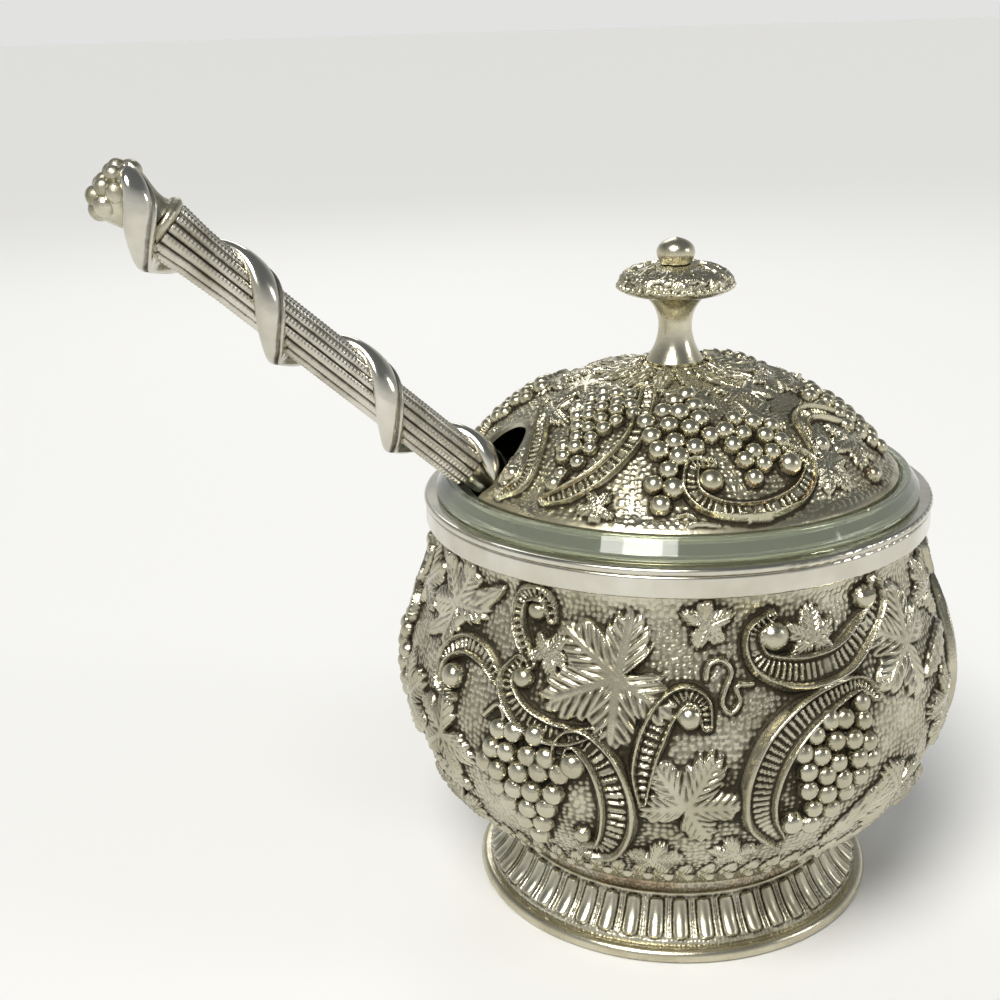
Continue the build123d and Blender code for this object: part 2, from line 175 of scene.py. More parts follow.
class Relief:
    """Height in millimetres over a turned surface. Its line runs from the bottom to the top.
    Each cell knows its angle from the front, its radius and its distance along the line, and
    a motif is drawn in the plane that these unroll to round the motif's own place."""

    def __init__(self, line, columns):
        self.line = line
        self.along_line = np.concatenate([[0], np.cumsum(np.hypot(*np.diff(line, axis=0).T))])
        self.turns = np.linspace(-180, 180, columns + 1)
        shape = (columns + 1, len(line))
        self.angle = np.broadcast_to(self.turns[:, None], shape)
        self.radius = np.broadcast_to(line[None, :, 0], shape)
        self.along = np.broadcast_to(self.along_line[None], shape)
        self.height = np.zeros(shape)

    def at(self, z):
        """Radius and distance along the line at a height; the line may rise or run level"""
        order = np.argsort(self.line[:, 1], kind="stable")
        z_line = self.line[order, 1]
        return np.interp(z, z_line, self.line[order, 0]), np.interp(z, z_line, self.along_line[order])

    def near(self, angle, along, reach):
        """Cells within reach of a place, with their unrolled millimetres from it"""
        rows = np.nonzero(np.abs(self.along_line - along) < reach)[0]
        least = max(np.min(self.line[rows, 0], initial=99), 1)
        turn = (self.turns - angle + 180) % 360 - 180
        columns = np.nonzero(np.abs(np.radians(turn)) * least < reach)[0]
        cells = np.ix_(columns, rows)
        u = np.radians(turn[columns])[:, None] * self.line[rows, 0][None]
        v = np.broadcast_to((self.along_line[rows] - along)[None], u.shape)
        return cells, u, v

    def lift(self, cells, height, blend=0.2):
        """Smooth maximum of what is there and the new height, where there is a new height"""
        old = self.height[cells]
        mix = np.clip(0.5 + 0.5 * (height - old) / blend, 0, 1)
        joined = old * (1 - mix) + height * mix + blend * mix * (1 - mix)
        self.height[cells] = np.where(height > 0, np.maximum(joined * (height > 0.02), old), old)

    def stroke(self, places, half, shape, count=80):
        """Runs shape(t, q, length) along a curve through the places: t goes 0 to 1 along it,
        and q is the sideways distance as a share of the half width there, positive on the left."""
        places = np.array(places, float)
        angle, z = places.mean(0)
        radius, along = self.at(places[:, 1])
        middle = self.at(z)[1]
        line = spline(np.stack([np.radians(places[:, 0] - angle) * radius, along - middle], -1), count)
        t_line = np.linspace(0, 1, count)
        width = np.interp(t_line, np.linspace(0, 1, len(half)), half)
        cells, u, v = self.near(angle, middle, np.abs(line).max() + max(half) * 1.3)
        gap = (u[..., None] - line[:, 0]) ** 2 + (v[..., None] - line[:, 1]) ** 2
        k = gap.argmin(-1)
        heading = np.gradient(line, axis=0)
        heading /= np.linalg.norm(heading, axis=1, keepdims=True)
        away_u = u - line[k, 0]
        away_v = v - line[k, 1]
        side = heading[k, 0] * away_v - heading[k, 1] * away_u
        side = np.where(side < 0, -1, 1) * np.hypot(away_u, away_v)
        length = np.hypot(*np.diff(line, axis=0).T).sum()
        q = side / width[k]
        self.lift(cells, np.where(np.abs(q) < 1.2, shape(t_line[k], q, length), 0))

    def scroll(self, places, half, rise=1.6, rib_pitch=0.85, left=True):
        """C-scroll: a thick round rim on its outer side, a hollow crossed by ribs, and a
        thinner rim on its inner side. left says that the outer rim lies left of its course."""
        turn = 1 if left else -1

        def shape(t, q, length):
            q = turn * q
            outer = np.exp(-(((q - 0.68) / 0.24) ** 2))
            inner = 0.82 * np.exp(-(((q + 0.74) / 0.19) ** 2))
            ribs = 0.15 * np.cos(2 * pi * t * length / rib_pitch) * smooth(-np.abs(q + 0.02), -0.52, -0.3)
            return rise * smooth(-np.abs(q), -1.1, -0.92) * np.maximum.reduce([outer, inner, 0.36 + ribs])

        self.stroke(places, half, shape)

    def wire(self, places, half, rise=0.75):
        """Round raised line, such as a tendril or a stalk"""
        self.stroke(places, [half, half], lambda t, q, n: rise * np.sqrt(np.clip(1 - q * q, 0, 1)))

    def ball(self, angle, along, size, lift=0.35):
        """Boss: a half ball of the given radius on a low round collar"""
        cells, u, v = self.near(angle, along, size * 1.1)
        ball = np.sqrt(np.clip(size**2 - u**2 - v**2, 0, None))
        self.lift(cells, np.where(ball > 0, ball * 0.95 + lift * smooth(ball, 0, 0.45 * size), 0), 0.06)

    def bead(self, angle, z, size, lift=0.35):
        """Boss at a height on the surface"""
        self.ball(angle, self.at(z)[1], size, lift)

    def bunch(self, stalk, tip, half, size, seed):
        """Grapes in rows from the stalk to the tip. The rows are staggered, as in a hexagonal
        packing, and their half width follows a teardrop that narrows to the tip."""
        rng = np.random.default_rng(seed)
        angle, z = stalk
        radius, along = self.at(z)
        tip_radius, tip_along = self.at(tip[1])
        run = np.array([radians(tip[0] - angle) * (radius + tip_radius) / 2, tip_along - along])
        length = hypot(*run)
        run /= length
        row_gap = 1.7
        grape_gap = 1.95
        scatter = 0.18
        for row in range(int(length / (row_gap * size)) + 1):
            t = row * row_gap * size / length
            width = half * min(0.62 + 1.6 * t, 1.0, 1.5 * (1.06 - t))
            for step in np.arange(-6 + row % 2 / 2, 6.5):
                side = step * grape_gap * size
                if abs(side) <= width:
                    u = run[0] * t * length - run[1] * side + scatter * size * rng.normal()
                    v = run[1] * t * length + run[0] * side + scatter * size * rng.normal()
                    lift = 0.75 * (1 - (side / (width + size)) ** 2) * (1 - 0.5 * t)
                    radius_there = np.interp(along + v, self.along_line, self.line[:, 0])
                    grape = size * (0.94 + 0.12 * rng.random())
                    self.ball(angle + np.degrees(u / radius_there), along + v, grape, lift)

    def leaf(self, angle, z, size, turn, rise=1.15):
        """Vine leaf: five lobes 62 degrees apart round the end of its stalk, with toothed edges.
        A vein runs out along each lobe, side veins branch off it, and the blade swells between
        them and curls up and down along its edge. turn is where its tip points, 90 is up."""
        cells, u, v = self.near(angle, self.at(z)[1], size * 1.2)
        rho = np.hypot(u, v) / size
        phi = (np.arctan2(v, u) - radians(turn) + pi) % (2 * pi) - pi
        lobe = radians(62)
        nearest = np.clip(np.round(phi / lobe), -2, 2)
        off = phi - nearest * lobe
        outline = 0.66 + 0.34 * np.cos(np.clip(np.abs(off) / lobe, 0, 0.5) * pi) ** 1.2
        outline = outline * (1 - 0.1 * np.abs(nearest)) * (1 - 0.8 * smooth(np.abs(phi), 2.75, 3.14))
        teeth = 0.13 * np.abs(np.sin(phi * 11.0 + 2 * np.sin(phi * 3)))
        outline = outline * (1 + teeth * smooth(rho, 0.3, 0.6))
        q = rho / outline
        across = rho * np.abs(np.sin(off))
        out = rho * np.cos(off)
        main = np.exp(-((across / (0.03 + 0.015 * (1 - q))) ** 2)) * smooth(-q, -1.0, -0.75)
        side = np.cos(2 * pi * (out * 6.5 - across * 7.5))
        side = side * smooth(across, 0.03, 0.09) * smooth(-q, -1, -0.8)
        swell = 0.42 * np.sin(pi * np.clip(across / 0.3, 0, 1)) * (1 - q**2)
        curl = 0.26 * np.sin(phi * 5 + size) * q**2
        blade = 0.46 + swell + curl + 0.1 * np.sqrt(np.clip(1 - q * q, 0, 1)) + 0.13 * side
        height = rise * smooth(-q, -1.0, -0.9) * (blade + 0.26 * main)
        self.lift(cells, np.where(q < 1, height, 0), 0.06)

    def frond(self, root, tip, half, rise=0.9, teeth=6):
        """Long leaf from root to tip: a lens with a midrib, side veins that lean towards the
        tip and notched edges"""

        def shape(t, q, length):
            outline = np.clip(4 * t * (1 - t), 0, 1) ** 0.6 * (1 + 0.16 * np.abs(np.sin(pi * t * teeth)))
            q = np.abs(q) / np.maximum(outline, 1e-3)
            veins = 0.12 * np.cos(2 * pi * (t * teeth - 0.6 * q)) * smooth(q, 0.12, 0.35)
            blade = 0.55 + 0.3 * np.sin(pi * np.clip(q, 0, 1)) + 0.4 * np.exp(-((q / 0.14) ** 2)) + veins
            return np.where(q < 1, rise * smooth(-q, -1, -0.85) * blade, 0)

        middle = ((root[0] + tip[0]) / 2, (root[1] + tip[1]) / 2)
        self.stroke([root, middle, tip], [half, half], shape)

    def stipple(self, pitch, rise):
        """Punched ground: one round dot in each square of the ground, moved off its middle by
        the fraction of a large sine. Only what still lies on the ground takes it."""
        gu = np.radians(self.angle) * self.line[:, 0].mean() / pitch
        gv = self.along / pitch
        ku, kv = np.floor(gu), np.floor(gv)
        dots = np.zeros(gu.shape)
        dot_reach = 0.24
        for du in (-1, 0, 1):
            for dv in (-1, 0, 1):
                cu, cv = ku + du, kv + dv
                shift_u = np.modf(np.abs(np.sin(cu * 127.1 + cv * 311.7)) * 4375.85)[0]
                shift_v = np.modf(np.abs(np.sin(cu * 269.5 + cv * 183.3)) * 2463.46)[0]
                gap = (gu - cu - 0.2 - 0.6 * shift_u) ** 2 + (gv - cv - 0.2 - 0.6 * shift_v) ** 2
                dots = np.maximum(dots, np.clip(1 - gap / dot_reach, 0, 1))
        self.height += rise * dots * smooth(-self.height, -0.35, -0.05)

    def points(self):
        """The line carried round the axis and pushed out by the relief along its normal"""
        travel = np.gradient(self.line, axis=0)
        travel /= np.linalg.norm(travel, axis=1, keepdims=True)
        radius = self.radius + self.height * travel[None, :, 1]
        z = self.line[None, :, 1] - self.height * travel[None, :, 0]
        theta = np.radians(self.angle + front)
        return np.stack([radius * np.cos(theta), radius * np.sin(theta), z], -1)

    def blurred(self, reach):
        """Mean of the height over a square of cells, which wraps round the axis"""
        field = self.height
        for axis, mode in ((0, "wrap"), (1, "edge")):
            pad = [(0, 0), (0, 0)]
            pad[axis] = (reach + 1, reach)
            total = np.cumsum(np.pad(field, pad, mode=mode), axis=axis)
            low = np.arange(field.shape[axis])
            high = np.take(total, low + 2 * reach + 1, axis=axis)
            field = (high - np.take(total, low, axis=axis)) / (2 * reach + 1)
        return field

    def hollow(self, near=2.2, wide=0.55):
        """How far each cell lies below what is round it, close by and further off, 0 to 1. The material darkens
        these hollows with oxide and painted shade
        """
        close_cells = 3
        far_cells = 14
        level_ground = 0.36
        close = self.blurred(close_cells) - self.height
        far = self.blurred(far_cells) - self.height
        return np.clip(level_ground + near * close + wide * far, 0, 1)


bowl_rows = 276
bowl_columns = 1400
sheet_depth = 1.0
low_arc, _ = arc_from((belly_r, belly_z), (0, -1), (floor_r, foot_h), 60)
high_arc, leaving = arc_from((belly_r, belly_z), (0, 1), (shoulder_r, shoulder_z), 40)
drawn_in, _ = arc_from((shoulder_r, shoulder_z), leaving, (neck_r, neck_z), 40)
bowl_line = even(np.vstack([low_arc[::-1], high_arc[1:], drawn_in[1:], [(neck_r, lip_z)]]), bowl_rows)
bowl_height = bowl_line[:, 1]
ground = sheet_depth * smooth(bowl_height, foot_h, foot_h + 4) * smooth(-bowl_height, -neck_z, -neck_z + 3)
bowl = Relief(inward(bowl_line, ground), bowl_columns)
border_count = 72
border_turn = 360 / border_count
for k in range(border_count):
    bowl.bead((k + 0.5) * border_turn, 15.4, 0.8, 0.1)
    bowl.frond((k * border_turn, 15.8), (k * border_turn + 2.0, 19.4), 0.9, 0.7, 2)


def here(*places):
    """The places on the half that is being drawn: the design goes twice round the pot"""
    return [(a + half_turn, z) for a, z in places]


for half_turn in (-180, 0):
    for a, z, size, turn in (
        (-17.6, 46.4, 10.4, 205), (-1.0, 53.2, 3.8, 20), (-4.2, 30.6, 7.6, 62), (22.2, 50.0, 4.4, 88),
        (-61.0, 50.0, 7.8, 130), (-58.0, 32.6, 7.6, 215), (48.0, 45.6, 8.8, 150), (43.0, 26.6, 6.8, 250),
        (66.0, 49.4, 6.0, 60), (62.0, 34.4, 7.0, 300), (100.0, 49.0, 6.6, 100), (104.0, 33.0, 7.0, 40),
        (-33.0, 47.6, 3.6, 60), (-10.6, 21.6, 4.0, 300), (6.0, 22.6, 3.6, 240), (57.0, 22.0, 4.4, 270),
        (-58.0, 21.6, 4.2, 250), (113.0, 21.6, 4.4, 270),
    ):
        bowl.leaf(a + half_turn, z, size, turn)
    bowl.frond(*here((26.0, 21.0), (44.0, 30.6)), 2.0)
    bowl.frond(*here((53.0, 40.0), (72.0, 43.0)), 1.8)
    bowl.frond(*here((-46.0, 54.8), (-72.0, 43.6)), 1.8)
    bowl.frond(*here((-66.0, 27.0), (-52.0, 25.4)), 1.6)
    bowl.bunch(*here((-37.0, 37.4), (-34.0, 21.0)), 7.0, 1.5, 1)
    bowl.bunch(*here((27.0, 39.6), (21.0, 26.0)), 5.8, 1.4, 2)
    bowl.bunch(*here((88.0, 39.6), (87.0, 24.0)), 5.4, 1.42, 3)
    bowl.scroll(
        here((-32.6, 52.2), (-34.8, 55.3), (-39.6, 55.0), (-41.4, 52.0), (-39.4, 48.9), (-36.0, 46.2)),
        [0.7, 1.0, 1.25, 1.3, 1.2, 0.8], 1.4, left=True)
    bowl.scroll(
        here((-39.0, 46.4), (-41.2, 43.6), (-37.8, 40.4), (-32.3, 38.8), (-26.6, 38.7), (-20.4, 39.9)),
        [0.8, 1.3, 1.8, 1.9, 1.5, 0.6], 1.6, left=False)
    bowl.scroll(
        here((-28.4, 34.8), (-27.2, 37.8), (-23.8, 38.4), (-19.4, 35.8),
             (-17.0, 31.4), (-17.2, 26.8), (-20.0, 22.6), (-24.4, 22.0)),
        [0.8, 1.2, 1.8, 2.4, 2.7, 2.6, 2.0, 1.0], 1.8, 0.9, left=True)
    bowl.scroll(
        here((-0.6, 41.2), (-1.2, 43.8), (-4.6, 44.8), (-8.2, 43.0),
             (-10.8, 39.4), (-12.2, 35.4), (-12.2, 31.2)),
        [0.8, 1.1, 1.5, 1.9, 2.0, 1.7, 0.6], 1.7, left=False)
    bowl.scroll(
        here((13.6, 54.0), (9.2, 51.8), (10.2, 48.4), (15.4, 46.7), (22.0, 46.2),
             (29.0, 47.0), (35.6, 49.6), (40.8, 52.6), (39.2, 55.8)),
        [0.7, 1.1, 1.8, 2.5, 2.7, 2.6, 2.2, 1.6, 0.8], 1.8, left=False)
    bowl.scroll(
        here((35.0, 41.2), (31.4, 43.4), (25.4, 43.1), (18.3, 41.3),
             (12.4, 37.8), (9.4, 33.0), (9.8, 28.2), (14.0, 24.2)),
        [0.6, 1.1, 1.8, 2.4, 2.8, 2.8, 2.4, 1.1], 1.9, left=False)
    bowl.scroll(
        here((-55.2, 38.4), (-60.0, 39.4), (-60.4, 43.0), (-55.0, 45.6), (-48.4, 45.3), (-42.4, 42.8)),
        [0.7, 1.1, 1.5, 1.7, 1.5, 0.6], 1.6, left=False)
    bowl.scroll(
        here((95.0, 42.4), (92.8, 44.8), (87.0, 45.0), (81.0, 41.0),
             (78.4, 35.0), (79.6, 28.6), (85.0, 23.4)),
        [0.7, 1.1, 1.8, 2.4, 2.6, 2.3, 1.0], 1.8, left=False)
    bowl.scroll(
        here((83.0, 55.0), (79.6, 51.8), (84.0, 48.4), (91.0, 48.4), (97.0, 51.6), (96.0, 55.4)),
        [0.7, 1.3, 2.0, 2.1, 1.5, 0.7], 1.7, left=False)
    for a, z, size in (
        (-36.4, 53.0, 1.4), (-37.4, 44.4, 1.5), (-25.2, 35.0, 1.8), (-24.4, 24.4, 1.2), (-3.8, 42.2, 1.6),
        (13.6, 51.2, 2.0), (37.2, 53.6, 1.8), (16.2, 26.8, 1.6), (31.0, 41.2, 1.4), (-56.2, 41.2, 1.8),
        (92.0, 42.2, 1.5), (86.4, 26.0, 1.4), (84.0, 52.0, 1.7), (93.4, 52.6, 1.4),
    ):
        bowl.bead(a + half_turn, z, size)
    bowl.wire(
        here((-0.6, 46.6), (0.2, 48.3), (2.8, 48.8), (4.6, 47.4), (3.2, 45.4),
             (2.4, 43.6), (4.0, 42.6), (5.8, 43.8), (5.4, 45.6), (8.6, 45.8)),
        0.42)
    bowl.wire(here((-45.6, 38.2), (-42.4, 40.2), (-40.6, 38.8), (-42.0, 37.2)), 0.42)
bowl.stipple(0.8, 0.13)
bowl.height *= smooth(bowl.along, 0.4, 1.6) * smooth(bowl.along_line[-1] - bowl.along, lip_z - neck_z, 4.0)


def sum_of(nodes, kind, a, b, c=None):
    """Math node of that kind on a, b and c, each a socket or a number"""
    node = nodes.id_data.nodes.new("ShaderNodeMath")
    node.operation = kind
    for socket, value in zip(node.inputs, (a, b, c)):
        if isinstance(value, bpy.types.NodeSocket):
            nodes.id_data.links.new(value, socket)
        elif value is not None:
            socket.default_value = value
    return node.outputs[0]


def blend_of(nodes, share, a, b):
    """Colour that goes from a to b as share goes from 0 to 1"""
    node = nodes.id_data.nodes.new("ShaderNodeMix")
    node.data_type = "RGBA"
    for socket, value in ((node.inputs[0], share), (node.inputs[6], a), (node.inputs[7], b)):
        nodes.id_data.links.new(value, socket)
    return node.outputs[2]


# Old silver plate, as one shader group: oxide and painted shade stay dark in the hollows and leave
# what stands up bright, the tone drifts from place to place, and where the plate is gone the brass shows.
tarnish_and_shade = bpy.data.node_groups.new("silver_tarnish_and_shade", "ShaderNodeTree")
for label, kind in (("Hollow", "Float"), ("Worn", "Float"), ("Scale", "Float"), ("Gloss", "Float"),
                    ("Bright", "Color"), ("Dull", "Color"), ("Dark", "Color"), ("Brass", "Color")):
    tarnish_and_shade.interface.new_socket(label, in_out="INPUT", socket_type="NodeSocket" + kind)
for label, kind in (("Color", "Color"), ("Roughness", "Float")):
    tarnish_and_shade.interface.new_socket(label, in_out="OUTPUT", socket_type="NodeSocket" + kind)
inner = tarnish_and_shade.nodes
join = tarnish_and_shade.links.new
given = inner.new("NodeGroupInput").outputs
result = inner.new("NodeGroupOutput").inputs


def cloud(nodes, scale, detail=3.0, rough=0.6):
    """Noise on Object coordinates"""
    node = nodes.new("ShaderNodeTexNoise")
    node.inputs["Detail"].default_value = detail
    node.inputs["Roughness"].default_value = rough
    where = nodes.new("ShaderNodeTexCoord").outputs["Object"]
    nodes.id_data.links.new(where, node.inputs["Vector"])
    if isinstance(scale, bpy.types.NodeSocket):
        nodes.id_data.links.new(scale, node.inputs["Scale"])
    else:
        node.inputs["Scale"].default_value = scale
    return node.outputs["Fac"]


drift = cloud(inner, given["Scale"], 4)
speck = cloud(inner, 1400.0)
# Painted shade: the Hollow input darkens recesses, partly as real oxide and partly in place of shade.
depth = sum_of(inner, "MULTIPLY_ADD", drift, 0.5, given["Hollow"])
depth = sum_of(inner, "MULTIPLY_ADD", speck, 0.24, depth)
oxide_and_shade = inner.new("ShaderNodeMapRange")
oxide_and_shade.interpolation_type = "SMOOTHSTEP"
oxide_and_shade.inputs["From Min"].default_value = 0.66
oxide_and_shade.inputs["From Max"].default_value = 1.18
join(depth, oxide_and_shade.inputs["Value"])
tone = inner.new("ShaderNodeMapRange")
tone.inputs["From Min"].default_value = 0.35
tone.inputs["From Max"].default_value = 0.65
join(drift, tone.inputs["Value"])
metal = blend_of(inner, tone.outputs[0], given["Bright"], given["Dull"])
patch = inner.new("ShaderNodeMapRange")
patch.inputs["From Min"].default_value = 0.75
patch.inputs["From Max"].default_value = 1.15
join(sum_of(inner, "MULTIPLY_ADD", cloud(inner, 260.0, 4), 0.9, given["Worn"]), patch.inputs["Value"])
bare = blend_of(inner, sum_of(inner, "MULTIPLY", patch.outputs[0], 0.75), metal, given["Brass"])
join(blend_of(inner, oxide_and_shade.outputs[0], bare, given["Dark"]), result["Color"])
dulled = sum_of(inner, "MULTIPLY_ADD", tone.outputs[0], 0.12, given["Gloss"])
join(sum_of(inner, "MULTIPLY_ADD", oxide_and_shade.outputs[0], 0.4, dulled), result["Roughness"])
bare_brass = (0.42, 0.27, 0.15)


def silver(name, fields=(), bright=(0.6, 0.57, 0.45), dull=(0.43, 0.4, 0.29), gloss=0.2, scale=110.0,
           marks=0.00003, marks_scale=900.0, hollow=0.3, dark=(0.06, 0.051, 0.034)):
    """Silver plate: tarnish and painted shade from the group, with wear and polish marks as a fine bump.
    fields names those of the hollow (oxide and painted shade) and worn attributes that the piece carries."""
    made = bpy.data.materials.new(name)
    made.use_nodes = True
    nodes = made.node_tree.nodes
    link = made.node_tree.links.new
    shader = nodes["Principled BSDF"]
    shader.inputs["Metallic"].default_value = 1.0
    plate = nodes.new("ShaderNodeGroup")
    plate.node_tree = tarnish_and_shade
    for label, colour in (("Bright", bright), ("Dull", dull), ("Dark", dark), ("Brass", bare_brass)):
        plate.inputs[label].default_value = (*colour, 1)
    for label, value in (("Gloss", gloss), ("Scale", scale), ("Hollow", hollow)):
        plate.inputs[label].default_value = value
    for field in fields:
        carried = nodes.new("ShaderNodeAttribute")
        carried.attribute_name = field
        link(carried.outputs["Fac"], plate.inputs[field.capitalize()])
    link(plate.outputs["Color"], shader.inputs["Base Color"])
    link(plate.outputs["Roughness"], shader.inputs["Roughness"])
    bump = nodes.new("ShaderNodeBump")
    bump.inputs["Distance"].default_value = marks
    link(cloud(nodes, marks_scale), bump.inputs["Height"])
    link(bump.outputs["Normal"], shader.inputs["Normal"])
    return made


def dress(piece, material, body, slot, *stands_for):
    """Gives a new piece its material and its body, and hides the nodes it stands for; slot is not used"""
    piece.data.materials.append(material)
    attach(piece, body)
    if stands_for:
        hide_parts(*stands_for)


embossed_silver = silver("embossed_silver", ("hollow",), gloss=0.17, marks=0.00008, marks_scale=1400.0)
bowl_points = bowl.points()
bowl_normals = grid_normals(bowl_points)
# Darkening in the bowl's hollows: oxide and painted shade.
bowl_hollow = bowl.hollow()
quarter = bowl_columns // 4
for k, side in enumerate(("back_left", "front_left", "front_right", "back_right")):
    cut = slice(k * quarter, (k + 1) * quarter + 1)
    piece = skin("bowl_" + side, [bowl_points[cut]], {"hollow": bowl_hollow[cut]}, bowl_normals[cut])
    dress(piece, embossed_silver, "pot", "silver_body", "bowl_shell")
inside_depth = bowl_skin + 0.3
inner_line = inward(even(bowl_line, 70), inside_depth)
inner_line[:, 1] = np.clip(inner_line[:, 1], foot_h + bowl_skin, lip_z)
inside = np.vstack([[(neck_r, lip_z)], inner_line[::-1], [(0, foot_h + bowl_skin)]])
underside = np.array([(0, foot_h), (floor_r, foot_h)])
once_round = np.linspace(0, 360, 181)
piece = skin("bowl_inside", [turned_grid(inside, once_round), turned_grid(underside, once_round)])
dress(piece, silver("bowl_inside_silver", gloss=0.3, hollow=0.4), "pot", "silver_body")

# Foot: hollow pressed skin that flares to a round wire. A ring of long rounded flutes, each
# framed by a pair of thin ribs, stands on the flare, and the neck above it is rubbed to brass.
foot_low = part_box("foot")[0].z / mm
flute_count = 48
foot_edge_r = 28.1
foot_line = even(spline(np.array([
    (foot_edge_r, foot_low), (28.0, 2.75), (26.1, 4.6), (24.9, 6.4), (24.3, 7.7), (23.6, 8.9), (23.6, foot_h)
]), 80), 78)
foot = Relief(foot_line, flute_count * 26)
pitch_share = (foot.angle / (360 / flute_count)) % 1
across_flute = np.abs(pitch_share - 0.5) / 0.5
flute_low, flute_high = foot.at(2.9)[1], foot.at(7.4)[1]
from_middle = (foot.along - (flute_low + flute_high) / 2) / ((flute_high - flute_low) / 2)
end_round = np.clip(1 - from_middle**6, 0, 1)
flute = np.sqrt(np.clip(1 - (across_flute / (0.62 * end_round**0.3 + 1e-6)) ** 2, 0, 1))
ribs = np.exp(-(((across_flute - 0.8) / 0.07) ** 2)) + 0.8 * np.exp(-(((across_flute - 1.0) / 0.06) ** 2))
foot.height += (0.62 * flute + 0.3 * ribs) * (end_round > 0) * smooth(end_round, 0, 0.25)
foot.height += 0.3 * np.exp(-(((foot.along - foot.at(7.9)[1]) / 0.22) ** 2))
foot.stipple(0.5, 0.08)
worn_neck = smooth(foot.line[None, :, 1] + 0 * foot.angle, 7.4, 8.4)
foot_points = foot.points()
fluted_silver = silver("fluted_silver", ("hollow", "worn"), gloss=0.24, bright=(0.68, 0.65, 0.52))
# Darkening between and beside the flutes: oxide and painted shade.
piece = skin("foot_flutes", [foot_points], {"hollow": foot.hollow(1.6, 0.6), "worn": worn_neck * 0.5},
             grid_normals(foot_points))
dress(piece, fluted_silver, "pot", "silver_foot", "foot")
foot_skin = 1.0
hidden_side = inward(even(foot_line, 24), foot_skin)
hidden_side[:, 1] = np.clip(hidden_side[:, 1], foot_low, foot_h)
hollow_foot = np.vstack([hidden_side[::-1], [(foot_edge_r, foot_low)]])
piece = skin("foot_inside", [turned_grid(hollow_foot, once_round)])
dress(piece, silver("foot_inside_silver", gloss=0.4, hollow=0.5), "pot", "silver_foot")

# Lid: raised dome with the same vine and scroll work as the bowl, a plain turned edge that
# drops inside the glass, and a round-ended notch that the ladle's handle leaves through.
lid_seat_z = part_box("lid_dome")[0].z / mm
dome_top_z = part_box("lid_dome")[1].z / mm
lid_edge_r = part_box("lid_dome")[1].y / mm
lid_edge_h = 1.3
lid_edge_w = 3.4
lid_edge_z = lid_seat_z + lid_edge_h
turn_in_r = lid_edge_r - lid_edge_w
dome_flat_r = 4.5
lid_skin = 1.2
notch_half = 5.2
notch_reach = 22.6
lid_columns = 1240
dome, _ = arc_from((dome_flat_r, dome_top_z), (1, 0), (lid_edge_r, lid_edge_z), 140)
stem_hole_r = 3.2
lid_sheet_depth = 0.75
dome_line = even(np.vstack([dome[::-1], [(stem_hole_r, dome_top_z)]]), 196)
sunk = lid_sheet_depth * smooth(-dome_line[:, 0], -lid_edge_r, -lid_edge_r + 1.6) * smooth(dome_line[:, 0], 4, 7)
lid = Relief(inward(dome_line, sunk), lid_columns)
rosette_leaves = 10
rosette_fronds = 14
for k in range(rosette_leaves):
    lid.leaf(k * 360 / rosette_leaves, 76.6, 4.6, 270, 0.8)
for k in range(rosette_fronds):
    frond_turn = k * 360 / rosette_fronds
    lid.frond((frond_turn + 4, 78.5), (frond_turn + 8, 77.0), 1.3, 0.9, 4)
for half_turn in (-180, 0):
    for a, z, size, turn in (
        (26.0, 74.6, 4.6, 330), (40.0, 69.0, 4.6, 300), (-25.5, 66.0, 3.0, 200), (-62.0, 74.0, 4.4, 220),
        (60.0, 70.0, 4.8, 240), (-58.0, 68.0, 3.6, 160), (12.0, 64.9, 2.4, 0), (80.0, 75.6, 4.4, 300),
        (100.0, 68.6, 4.6, 270), (-9.0, 74.8, 3.4, 110), (-48.0, 75.4, 4.0, 100),
    ):
        lid.leaf(a + half_turn, z, size, turn, 1.0)
    lid.bunch(*here((-40.0, 76.4), (-38.6, 68.6)), 4.4, 1.08, 4)
    lid.bunch(*here((0.0, 76.6), (-14.6, 65.6)), 4.4, 1.4, 5)
    lid.bunch(*here((23.0, 73.8), (14.0, 69.0)), 5.0, 1.28, 6)
    lid.bunch(*here((76.0, 74.4), (76.0, 66.0)), 4.2, 1.2, 7)
    lid.scroll(
        here((-33.4, 75.6), (-28.0, 77.2), (-21.4, 76.0), (-21.2, 73.0),
             (-27.4, 69.6), (-34.6, 67.2), (-41.4, 65.6)),
        [0.6, 1.0, 1.35, 1.5, 1.55, 1.4, 0.7], 1.3, 0.7, left=False)
    lid.scroll(
        here((-74.4, 74.4), (-62.6, 73.0), (-54.2, 70.4), (-51.0, 67.2), (-55.6, 64.9)),
        [0.6, 1.1, 1.4, 1.3, 0.7], 1.3, 0.7, left=False)
    lid.scroll(
        here((4.4, 70.6), (-1.4, 70.6), (-2.2, 68.0), (3.6, 66.2), (12.0, 65.6),
             (20.4, 66.0), (28.6, 67.4), (33.8, 69.6), (29.0, 71.4)),
        [0.5, 1.0, 1.4, 1.6, 1.6, 1.55, 1.4, 1.1, 0.5], 1.5, 0.7, left=False)
    lid.scroll(
        here((39.4, 70.6), (45.0, 73.2), (56.2, 73.6), (70.0, 71.4), (84.0, 68.0)),
        [0.6, 1.2, 1.4, 1.2, 0.6], 1.3, 0.7, left=True)
    for a, z, size in (
        (-28.4, 75.8, 1.1), (-40.4, 67.6, 1.2), (3.0, 69.0, 1.6), (27.6, 69.8, 1.6), (-56.2, 67.4, 1.3),
        (44.0, 70.8, 1.2), (57.0, 66.0, 1.3),
    ):
        lid.bead(a + half_turn, z, size)
    lid.wire(
        here((-6.0, 65.6), (-3.6, 65.8), (-1.9, 65.2), (-3.4, 64.7), (-1.0, 64.9), (3.4, 64.7)),
        0.32, 0.6)
lid.stipple(0.7, 0.13)


def notch_gap(x, y):
    """Distance in plan from the notch's outline, negative inside it: half the notch's width is
    taken off the distance to the line that runs out from the centre of its round end"""
    past = np.maximum(x + notch_reach + notch_half, 0)
    return np.hypot(past, y) - notch_half


